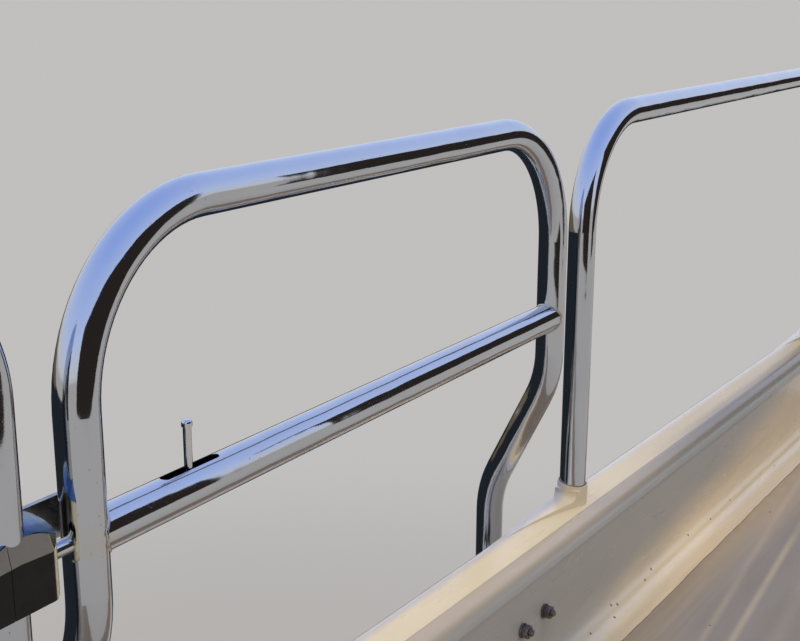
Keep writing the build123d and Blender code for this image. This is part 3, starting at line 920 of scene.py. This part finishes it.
@dataclass
class BulwarkSection:
    """White bulwark with its bosses, the deck beside it, sealant, grime and specks."""

    finishes: Finishes
    joint_y: float = -0.09025
    joint_ends: tuple[float, float] = (0.002, 0.004)
    joint_steps: int = 40
    deck_top: float = 0.022
    seal_radius: float = 0.0158
    seal_bead: float = 0.0006
    seal_squat: float = 0.7
    cap_lean: float = 0.12
    speck_face: float = 0.0001
    posts: tuple[tuple[float, float], ...] = (
        (-0.733, 0.200990), (-0.403, 0.191090), (0.410, 0.166700), (1.440, 0.135800),
    )
    specks: tuple[Point, ...] = (
        (0.4164, -0.0519, 0.0205), (0.4049, -0.0623, 0.0118), (0.4285, -0.0545, 0.0172),
        (0.5131, -0.0558, 0.0135), (0.5404, -0.0526, 0.0163), (0.6733, -0.0526, 0.0121),
        (0.7547, -0.0567, 0.0048), (0.8406, -0.0553, 0.0042), (1.0411, -0.0607, -0.0058),
        (0.4535, -0.1593, 0.0076), (0.8463, -0.1123, -0.0034), (0.3467, -0.0567, 0.0175),
        (0.1210, -0.0600, 0.0200), (0.0420, -0.0540, 0.0260), (-0.1850, -0.0580, 0.0280),
        (-0.2600, -0.0700, 0.0270), (-0.5200, -0.0560, 0.0400), (1.2300, -0.0580, -0.0100),
        (1.3900, -0.0650, -0.0150), (-0.6900, -0.1500, 0.0420),
    )

    def build(self) -> None:
        """Dress the mouldings and lay what sits on them."""
        dress(self.finishes.gelcoat, "bulwark")
        dress(self.finishes.deck, "deck_strip")
        self.seals()
        self.joint()
        self.scatter()

    def seals(self) -> None:
        """Bead of sealant round the foot of each post, leaning with the cap."""
        verts, faces = [], []
        around, across = 48, 8
        for x, z in self.posts:
            first = len(verts)
            for i in range(around):
                turn = 2 * math.pi * i / around
                for j in range(across):
                    bend = 2 * math.pi * j / across
                    reach = self.seal_radius + self.seal_bead * math.cos(bend)
                    y = reach * math.sin(turn)
                    rise = self.seal_squat * self.seal_bead * math.sin(bend)
                    verts.append((x + reach * math.cos(turn), y, z + self.cap_lean * y + rise))
            for i in range(around):
                a, b = first + i * across, first + (i + 1) % around * across
                for j in range(across):
                    k = (j + 1) % across
                    faces.append((a + j, b + j, b + k, a + k))
        rings = mesh_object("post_seals", verts, faces=faces)
        finish_piece(rings, Body.BULWARK, self.finishes.sealant)

    def joint(self) -> None:
        """Grime in the joint between bulwark and deck."""
        low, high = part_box("deck_strip")
        start, steps = low.x + self.joint_ends[0], self.joint_steps
        run = high.x - low.x - sum(self.joint_ends)
        places = [start + i * run / steps for i in range(steps + 1)]
        verts = [(x, self.joint_y, self.deck_top - FALL * x) for x in places]
        base = mesh_object("joint_base", verts, edges=[(i, i + 1) for i in range(steps)])
        line = crack_recipe(self.finishes.grime).apply(base, "joint_grime")
        finish_piece(line, Body.BULWARK)

    def scatter(self) -> None:
        """Specks of dirt stuck to the cove and deck."""
        trees = []
        for name in ("bulwark", "deck_strip"):
            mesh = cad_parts[name].data
            corners = [tuple(polygon.vertices) for polygon in mesh.polygons]
            trees.append(BVHTree.FromPolygons([v.co for v in mesh.vertices], corners))
        verts, faces = [], []
        for place in self.specks:
            hits = (tree.find_nearest(Vector(place)) for tree in trees)
            spot, normal, _, _ = min(hits, key=lambda hit: hit[3])
            side = normal.orthogonal().normalized() * self.speck_face
            across = normal.cross(side)
            first = len(verts)
            verts += [spot + side, spot + across, spot - side - across]
            faces.append((first, first + 1, first + 2))
        base = mesh_object("speck_base", verts, faces=faces, smooth=False)
        laid = speck_recipe(self.finishes.speck).apply(base, "specks")
        finish_piece(laid, Body.BULWARK)


@dataclass
class FixedRails:
    """The two fixed rails beside the gate."""

    finishes: Finishes

    def build(self) -> None:
        """Dress both rails."""
        dress(self.finishes.tube, "left_rail", "right_rail")


def saddle(radius: float, at: Vector, along: Vector, up: Vector, steps: int = 72) -> list[Vector]:
    """Line where a branch tube meets the side of a tube of its own size.

    Args:
        radius: radius of both tubes.
        at: where the two axes cross.
        along: direction of the branch, away from the crossing.
        up: direction of the tube that is met.
        steps: points round the line.

    Returns:
        The points, in order.
    """
    side = along.cross(up)
    least = 0.35 * radius
    points = []
    for i in range(steps):
        turn = 2 * math.pi * i / steps
        across, high = radius * math.cos(turn), radius * math.sin(turn)
        reach = math.sqrt(max(radius**2 - across**2, least**2))
        points.append(at + side * across + up * high + along * reach)
    return points


@dataclass
class GateLeaf:
    """Folding gate: hoop, middle rail, hinge tube, stop and their welds."""

    finishes: Finishes
    leg_x: float = 0.336
    tube: float = 0.015
    rail_z: float = 0.38
    foot_y: float = 0.0685
    foot_z: float = 0.066
    bead: float = 0.0013
    ripple: float = 0.0008

    def build(self) -> None:
        """Dress the tubes and add the welds."""
        dress(self.finishes.gate_tube, "gate_hoop", "gate_middle_rail")
        dress(self.finishes.tube, "gate_hinge_tube", "hinge_tube_cap_left", "hinge_tube_cap_right")
        dress(self.finishes.lug, "stop_lug")
        dress(self.finishes.rubber, "stop_pad")
        self.welds()

    def welds(self) -> None:
        """Ripple welds at the rail's and the hinge tube's joints."""
        ahead, upward = Vector((1, 0, 0)), Vector((0, 0, 1))
        verts, edges = [], []
        for side in (-1, 1):
            rail = Vector((side * self.leg_x, 0, self.rail_z))
            foot = Vector((side * self.leg_x, self.foot_y, self.foot_z))
            for line in (
                saddle(self.tube, rail, -side * ahead, upward),
                saddle(self.tube, foot, upward, ahead),
            ):
                first, count = len(verts), len(line)
                verts += line
                edges += [(first + i, first + (i + 1) % count) for i in range(count)]
        base = mesh_object("weld_base", verts, edges=edges)
        bead = weld_recipe(self.finishes.weld, self.bead, self.ripple).apply(base, "gate_welds")
        finish_piece(bead, Body.GATE)


@dataclass
class Latch:
    """Bolt, handle pin and the bushes that guide them."""

    finishes: Finishes

    def build(self) -> None:
        """Dress the latch's nodes."""
        dress(self.finishes.small, "latch_bolt", "latch_pin", "latch_guide_bush")
        dress(self.finishes.plastic, "latch_end_bush")


@dataclass
class Keeper:
    """Two-part clamp on the left post."""

    finishes: Finishes

    def build(self) -> None:
        """Dress the keeper's nodes."""
        dress(self.finishes.keeper, "keeper_bolt_side", "keeper_clamp_side")
        dress(self.finishes.fastener, "keeper_screws")


def turned(depths: list[float], reach: Callable[[int, float], float], steps: int) -> Shape:
    """Closed solid of rings about the Y axis, standing on the origin along -Y.

    Args:
        depths: how far along -Y each ring lies.
        reach: gives the radius for a ring's number and a turn.
        steps: points round each ring.

    Returns:
        Vertices and faces.
    """
    verts, faces = [], []
    for k, depth in enumerate(depths):
        for i in range(steps):
            turn = 2 * math.pi * i / steps
            out = reach(k, turn)
            verts.append(Vector((out * math.cos(turn), -depth, out * math.sin(turn))))
    last = (len(depths) - 1) * steps
    for a in range(0, last, steps):
        b = a + steps
        for i in range(steps):
            j = (i + 1) % steps
            faces.append((a + i, a + j, b + j, b + i))
    faces.append(tuple(range(steps - 1, -1, -1)))
    faces.append(tuple(range(last, last + steps)))
    return verts, faces


def turned_hex(flats: float, length: float, chamfer: float) -> Shape:
    """Hexagon with turned corners.

    Args:
        flats: size across flats.
        length: height of the head or nut.
        chamfer: how far the corners are turned down.

    Returns:
        Vertices and faces of a closed solid.
    """
    slope = 0.6 * chamfer
    rings = ((0.0, 0.0), (slope, chamfer), (length - slope, chamfer), (length, 0.0))
    sixth = math.pi / 3

    def reach(k: int, turn: float) -> float:
        """The hexagon's edge, cut by the turned corner."""
        edge = flats / 2 / math.cos((turn + sixth / 2) % sixth - sixth / 2)
        return min(edge, flats / 2 + rings[k][1])

    return turned([depth for depth, _ in rings], reach, 72)


def turned_disc(*profile: tuple[float, float]) -> Shape:
    """Closed turned part from pairs of depth and radius."""
    return turned([depth for depth, _ in profile], lambda k, _: profile[k][1], 40)


@dataclass
class HingeMounts:
    """Outer hinge brackets and the bolts that go through the bulwark."""

    finishes: Finishes
    centres: tuple[float, float] = (-0.224, 0.224)
    pitch: float = 0.05
    height: float = 0.0845
    outer_y: float = 0.021
    flats: float = 0.013
    chamfer: float = 0.0008
    head: float = 0.0053
    head_turns: tuple[float, float] = (0.3, 1.4)
    nut: float = 0.0065
    nut_turns: tuple[float, float] = (0.15, 0.9)
    washer: float = 0.008
    washer_thickness: float = 0.0016
    washer_edge: float = 0.0003
    washer_seat: float = 0.0002
    stud: float = 0.004
    stud_tip: float = 0.0009
    proud: float = 0.012
    thread: float = 0.00125
    thread_cut: float = 0.00045
    ridge_depth: float = 0.0005
    thread_ends: tuple[float, float] = (0.0012, 0.001)
    sharp: float = 0.45

    def build(self) -> None:
        """Dress the brackets and replace the plain bolts and nuts."""
        dress(self.finishes.cast, "hinge_bracket_left", "hinge_bracket_right")
        dress(self.finishes.plastic, "hinge_liner_left", "hinge_liner_right")
        self.bolts()
        self.nuts()

    def holes(self) -> list[tuple[float, float, int]]:
        """Places of the through bolts.

        Returns:
            For each bolt its x, the y that its washer bears on, and its number on the bracket.
        """
        rows = []
        for side, centre in zip(("left", "right"), self.centres):
            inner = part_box(f"bracket_nuts_{side}")[1].y
            rows += [(centre - self.pitch / 2, inner, 0), (centre + self.pitch / 2, inner, 1)]
        return rows

    def stamp(self, parts: list[tuple[Shape, Vector, float]], name: str) -> bpy.types.Object:
        """Join copies of shapes, each moved to its place and turned about Y.

        Args:
            parts: shape, place and turn for each copy.
            name: name of the piece.

        Returns:
            One mesh object.
        """
        verts, faces = [], []
        for (points, polygons), place, turn in parts:
            first = len(verts)
            spin = Matrix.Rotation(turn, 3, "Y")
            verts += [spin @ p + place for p in points]
            faces += [tuple(first + i for i in f) for f in polygons]
        piece = mesh_object(name, verts, faces=faces)
        work = bmesh.new()
        work.from_mesh(piece.data)
        bmesh.ops.recalc_face_normals(work, faces=work.faces)
        for edge in work.edges:
            if len(edge.link_faces) == 2 and edge.calc_face_angle(0) > self.sharp:
                edge.smooth = False
        work.to_mesh(piece.data)
        work.free()
        return piece

    def bolts(self) -> None:
        """Heads outside the bracket and studs through to the inside, with their threads."""
        parts, tips = [], []
        head = turned_hex(self.flats, self.head, self.chamfer)
        core = self.stud - self.thread_cut
        for x, inner, k in self.holes():
            run = self.outer_y - inner + self.proud
            tip = (run - self.stud_tip, core), (run, core - self.stud_tip)
            shank = turned_disc((0.0, core), *tip)
            face = Vector((x, self.outer_y, self.height))
            parts.append((head, face + Vector((0, self.head, 0)), self.head_turns[k]))
            parts.append((shank, face, 0.0))
            tips.append((x, inner - self.thread_ends[0], self.height))
        heads = self.stamp(parts, "through_bolts")
        turns = int((self.proud - sum(self.thread_ends)) / self.thread)
        recipe = thread_recipe(
            self.finishes.fastener, self.stud - self.ridge_depth, self.thread, turns
        )
        ridges = recipe.apply(mesh_object("thread_base", tips), "bolt_threads")
        replaced = ("bracket_bolts_left", "bracket_bolts_right")
        finish_piece(heads, Body.BULWARK, self.finishes.fastener, replaced)
        finish_piece(ridges, Body.BULWARK)

    def nuts(self) -> None:
        """Washers and chamfered nuts on the bulwark's inner face."""
        nut = turned_hex(self.flats, self.nut, self.chamfer)
        rim, thick, edge = self.washer, self.washer_thickness, self.washer_edge
        ring = turned_disc(
            (0.0, rim - self.washer_seat), (edge, rim), (thick - edge, rim), (thick, rim - edge)
        )
        parts = []
        for x, inner, k in self.holes():
            place = Vector((x, inner, self.height))
            centre = self.centres[0] if x < 0 else self.centres[1]
            parts.append((ring, place, 0.0))
            parts.append((nut, place - Vector((0, thick, 0)), self.nut_turns[k] + centre))
        piece = self.stamp(parts, "through_bolt_nuts")
        replaced = ("bracket_nuts_left", "bracket_nuts_right")
        finish_piece(piece, Body.BULWARK, self.finishes.fastener, replaced)


@dataclass(frozen=True)
class Viewpoint:
    """Camera at the photograph's angle, its turns in degrees and its lens in millimetres."""

    place: Point = (-0.8546, -0.5661, 0.7146)
    heading: float = 32.435
    pitch: float = 14.562
    roll: float = 0.0952
    lens: float = 56.85
    sensor: float = 36.0
    clip: tuple[float, float] = (0.01, 400.0)

    def build(self) -> None:
        """Create the camera and make it the scene's."""
        heading, pitch, roll = (math.radians(v) for v in (self.heading, self.pitch, self.roll))
        level = math.cos(pitch)
        ahead = Vector((math.cos(heading) * level, math.sin(heading) * level, -math.sin(pitch)))
        side = ahead.cross(Vector((0, 0, 1))).normalized()
        above = side.cross(ahead)
        right = side * math.cos(roll) + above * math.sin(roll)
        up = above * math.cos(roll) - side * math.sin(roll)
        data = bpy.data.cameras.new("view")
        data.lens = self.lens
        data.sensor_width = self.sensor
        data.clip_start, data.clip_end = self.clip
        camera = bpy.data.objects.new("view", data)
        bpy.context.scene.collection.objects.link(camera)
        turn = Matrix((right, up, -ahead)).transposed().to_4x4()
        camera.matrix_world = Matrix.Translation(Vector(self.place)) @ turn
        bpy.context.scene.camera = camera


@dataclass(frozen=True)
class Panel:
    """A soft lamp that the steel doesn't mirror."""

    name: str
    place: Point
    aim: Point
    size: tuple[float, float]
    power: float
    colour: Colour

    def build(self) -> None:
        """Create the lamp."""
        data = bpy.data.lights.new(self.name, "AREA")
        data.shape = "RECTANGLE"
        data.size, data.size_y = self.size
        data.energy = self.power
        data.color = self.colour
        lamp = bpy.data.objects.new(self.name, data)
        lamp.visible_glossy = False
        bpy.context.scene.collection.objects.link(lamp)
        look = (Vector(self.aim) - Vector(self.place)).to_track_quat("-Z", "Y")
        lamp.matrix_world = Matrix.Translation(Vector(self.place)) @ look.to_matrix().to_4x4()


@dataclass
class Studio:
    """Pale floor, sky light, lamps, and cards that only the polished steel mirrors."""

    floor_colour: Colour = (0.56, 0.56, 0.57)
    far_tone: Colour = (0.535, 0.525, 0.515)
    far_from: float = 0.9
    far_to: float = 2.4
    floor_drop: float = 0.48
    floor_steps: int = 96
    level_from: float = 2.0
    level_over: float = 40.0
    horizon_from: float = 30.0
    horizon_over: float = 52.0
    horizon_rise: float = 1.3
    card_lift: float = 0.4815
    card_y: float = -0.56
    card_top: float = 0.85
    sky_power: float = 0.95
    sky_light: Colour = (0.50, 0.49, 0.50)
    sky_bands: tuple[tuple[float, Colour], ...] = (
        (0.0, (0.69, 0.70, 0.71)), (0.06, (0.82, 0.85, 0.90)),
        (0.3, (0.71, 0.85, 1.21)), (1.0, (0.41, 0.60, 1.23)),
    )
    panels: tuple[Panel, ...] = (
        Panel("key", (-1.6, 1.6, 2.6), (0.2, 0, 0.2), (2.2, 2.2), 33.0, (1.0, 0.87, 0.70)),
        Panel("top", (0.3, -0.3, 3.2), (0.3, -0.05, 0.1), (3.0, 1.6), 44.0, (1.0, 0.96, 0.90)),
        Panel("inboard", (0.8, -2.6, 0.9), (0.6, 0, 0.1), (3.4, 1.0), 15.0, (1.0, 0.95, 0.88)),
    )

    def build(self) -> None:
        """Build the floor, cards, lamps and world."""
        self.floor()
        self.card("card_near", (0.16, 3.0), None, (0.020, 0.026, 0.034))
        self.card("card_far", (3.0, 16.0), None, (0.17, 0.14, 0.09))
        self.card("card_inboard", (0.60, 7.0), 0.31, (0.030, 0.024, 0.022))
        self.card("card_aft", (-0.9, 0.32), 0.27, (0.030, 0.024, 0.022))
        for panel in self.panels:
            panel.build()
        self.sky()

    def floor(self) -> None:
        """Floor below the folded gate, whose distance takes one plain tone."""
        steps = self.floor_steps
        verts = [(0.0, 0.0, -self.floor_drop)]
        radii = [0.5 * 1.2**k for k in range(29)]
        for radius in radii:
            for i in range(steps):
                turn = 2 * math.pi * i / steps
                x, y = radius * math.cos(turn), radius * math.sin(turn)
                verts.append((x, y, self.ground(x, y)))
        faces = [(0, 1 + i, 1 + (i + 1) % steps) for i in range(steps)]
        for k in range(len(radii) - 1):
            a, b = 1 + k * steps, 1 + (k + 1) * steps
            for i in range(steps):
                j = (i + 1) % steps
                faces.append((a + i, b + i, b + j, a + j))
        ground = mesh_object("floor", verts, faces=faces)
        s = Surface("floor_pale", Roughness=0.9, Specular_IOR_Level=0.0)
        patchy = s.noise(3.0, 3.0) * 0.2
        s.drive("Base Color", s.mix(patchy, self.floor_colour, shade(self.floor_colour, 0.94)))
        far = s.vector("LENGTH", s.place, out="Value").ramp(self.far_from, self.far_to)
        plain = s.node("ShaderNodeEmission", {}, {"Color": self.far_tone, "Strength": 1.0})
        body = Wire(s, s.shader.outputs[0])
        shown = s.node("ShaderNodeMixShader", {}, {0: s.seen() * far, 1: body, 2: plain})
        s.tree.links.new(shown.socket, s.output.inputs[0])
        ground.data.materials.append(s.material)

    def ground(self, x: float, y: float) -> float:
        """Height of the floor: tilted under the piece, level further out, rising at the horizon.

        Args:
            x: place along the piece.
            y: place outboard of it.

        Returns:
            The height, in metres.
        """
        radius = math.hypot(x, y)
        share = min(max((radius - self.level_from) / self.level_over, 0.0), 1.0)
        hold = 1 - share * share * (3 - 2 * share)
        out = max(radius - self.horizon_from, 0.0) / self.horizon_over
        return self.horizon_rise * out**2 - FALL * x * hold - self.floor_drop

    def card(self, name: str, ends: tuple[float, float], low: Optional[float],
             tone: Colour) -> None:
        """Card that only the polished surfaces see.

        Args:
            name: card's name.
            ends: near and far edge outboard of a level card, or an upright card's two ends.
            low: lower edge of an upright card, None for a level one.
            tone: light that the card gives back.
        """
        if low is None:
            columns = [-2.6 + 0.6 * k for k in range(25)]
            verts = [(x, y, self.ground(x, y) + self.card_lift) for x in columns for y in ends]
        else:
            columns = list(ends)
            verts = [(x, self.card_y, z) for x in columns for z in (self.card_top, low)]
        faces = [(2 * k, 2 * k + 2, 2 * k + 3, 2 * k + 1) for k in range(len(columns) - 1)]
        card = mesh_object(name, verts, faces=faces, smooth=False)
        s = Surface(name, Base_Color=(0.0, 0.0, 0.0), Roughness=1.0, Emission_Color=tone,
                    Emission_Strength=1.0, Specular_IOR_Level=0.0)
        card.data.materials.append(s.material)
        for kind in ("camera", "diffuse", "shadow", "transmission", "volume_scatter"):
            setattr(card, f"visible_{kind}", False)

    def sky(self) -> None:
        """World that is bluer overhead and paler at the horizon, and lights the piece plainly."""
        world = bpy.data.worlds.new("sky")
        world.use_nodes = True
        bpy.context.scene.world = world
        g = Graph(world.node_tree)
        g.tree.nodes.clear()
        _, side, high = g.split(g.node("ShaderNodeTexCoord", out="Generated"))
        above = g.node("ShaderNodeValToRGB", {"stops": self.sky_bands}, {0: high}, "Color")
        open_side = (side + high * 0.5).ramp(-0.7, 0.4, 0.24, 1.0)
        soft = g.mix(open_side, (0.0, 0.0, 0.0), self.sky_light)
        tone = g.mix(g.seen(), soft, above)
        back = g.node("ShaderNodeBackground", {}, {"Color": tone, "Strength": self.sky_power})
        output = g.tree.nodes.new("ShaderNodeOutputWorld")
        g.tree.links.new(back.socket, output.inputs[0])


def main() -> None:
    """Build everything in order."""
    logging.basicConfig(level=logging.INFO, format="%(message)s")
    bpy.context.scene.view_settings.view_transform = "Standard"
    Viewpoint().build()
    Studio().build()
    finishes = Finishes()
    for part in (BulwarkSection, FixedRails, GateLeaf, Latch, Keeper, HingeMounts):
        part(finishes).build()


if __name__ == "__main__":
    main()
